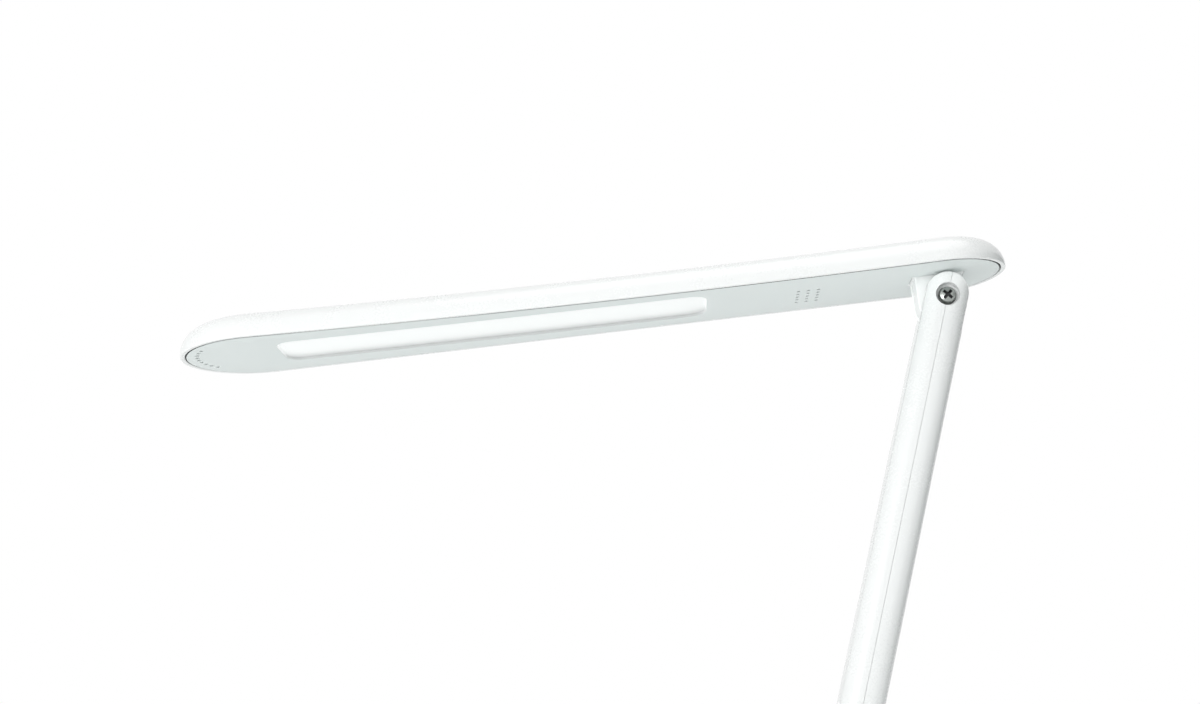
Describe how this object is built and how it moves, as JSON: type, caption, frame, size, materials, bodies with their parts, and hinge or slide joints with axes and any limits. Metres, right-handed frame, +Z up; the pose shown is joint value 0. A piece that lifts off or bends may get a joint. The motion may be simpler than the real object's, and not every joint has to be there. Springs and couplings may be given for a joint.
{
  "type": "folding led desk lamp",
  "caption": "Desk lamp with a long flat light head on a tilting two-part arm, over a weighted base with a swivel and touch panel; it folds flat.",
  "frame": {"origin": "middle of the base's underside, on the table", "axes": "+Z up, the light head points to -X at rest, the tilt axes lie along Y"},
  "size_m": [0.358, 0.13, 0.4143],
  "materials": {
    "white_shell": "white, glossy",
    "cover_grey": "pale cool white, satin gloss",
    "milky": "milky, smooth",
    "bright_steel": "zinc plated",
    "weight_steel": "plain plate",
    "dark_steel": "blackened",
    "pad_rubber": "matt, fine grain",
    "dark_plastic": "matt",
    "panel": "smooth, pale grey",
    "board_green": "solder mask",
    "board_white": "white solder mask",
    "chip_yellow": "phosphor",
    "lead_jacket": "smooth"
  },
  "bodies": {
    "base": {"base_pad": "pad_rubber", "base_bottom": "white_shell", "base_weight": "weight_steel", "base_shell": "white_shell", "base_screws": "bright_steel", "control_panel": "panel", "touch_board": "board_green", "touch_springs": "bright_steel", "power_jack": "dark_plastic", "jack_pin": "bright_steel", "base_lead": "lead_jacket", "swivel_washer": "bright_steel"},
    "turret": {"swivel_turret": "white_shell", "swivel_retainer": "bright_steel", "retainer_screws": "bright_steel"},
    "arm": {"arm_front": "white_shell", "arm_rear": "white_shell", "arm_lead": "lead_jacket", "lower_pivot_screw": "bright_steel", "lower_pivot_nut": "bright_steel", "lower_spring_washer": "dark_steel", "lower_sleeve": "bright_steel", "lower_friction_washers": "dark_plastic", "upper_pivot_screw": "bright_steel", "upper_pivot_nut": "bright_steel", "upper_spring_washer": "dark_steel", "upper_sleeve": "bright_steel", "upper_friction_washers": "dark_plastic"},
    "head": {"head_shell": "white_shell", "head_cover": "cover_grey", "hinge_block": "white_shell", "block_screws": "bright_steel", "light_board": "board_white", "light_chips": "chip_yellow", "board_screws": "bright_steel", "diffuser": "milky", "head_lead": "lead_jacket"}
  },
  "joints": [
    {"name": "base_swivel", "type": "hinge", "parent": "base", "child": "turret", "pos_m": [0.05, 0, 0.02], "axis": [0, 0, 1], "range_deg": [-90, 90]},
    {"name": "arm_tilt", "type": "hinge", "parent": "turret", "child": "arm", "pos_m": [0.05, 0, 0.0464], "axis": [0, 1, 0], "range_deg": [-103.2, 16.8]},
    {"name": "head_tilt", "type": "hinge", "parent": "arm", "child": "head", "pos_m": [0.13038, 0, 0.3891], "axis": [0, 1, 0], "range_deg": [-70.2, 109.5]}
  ]
}
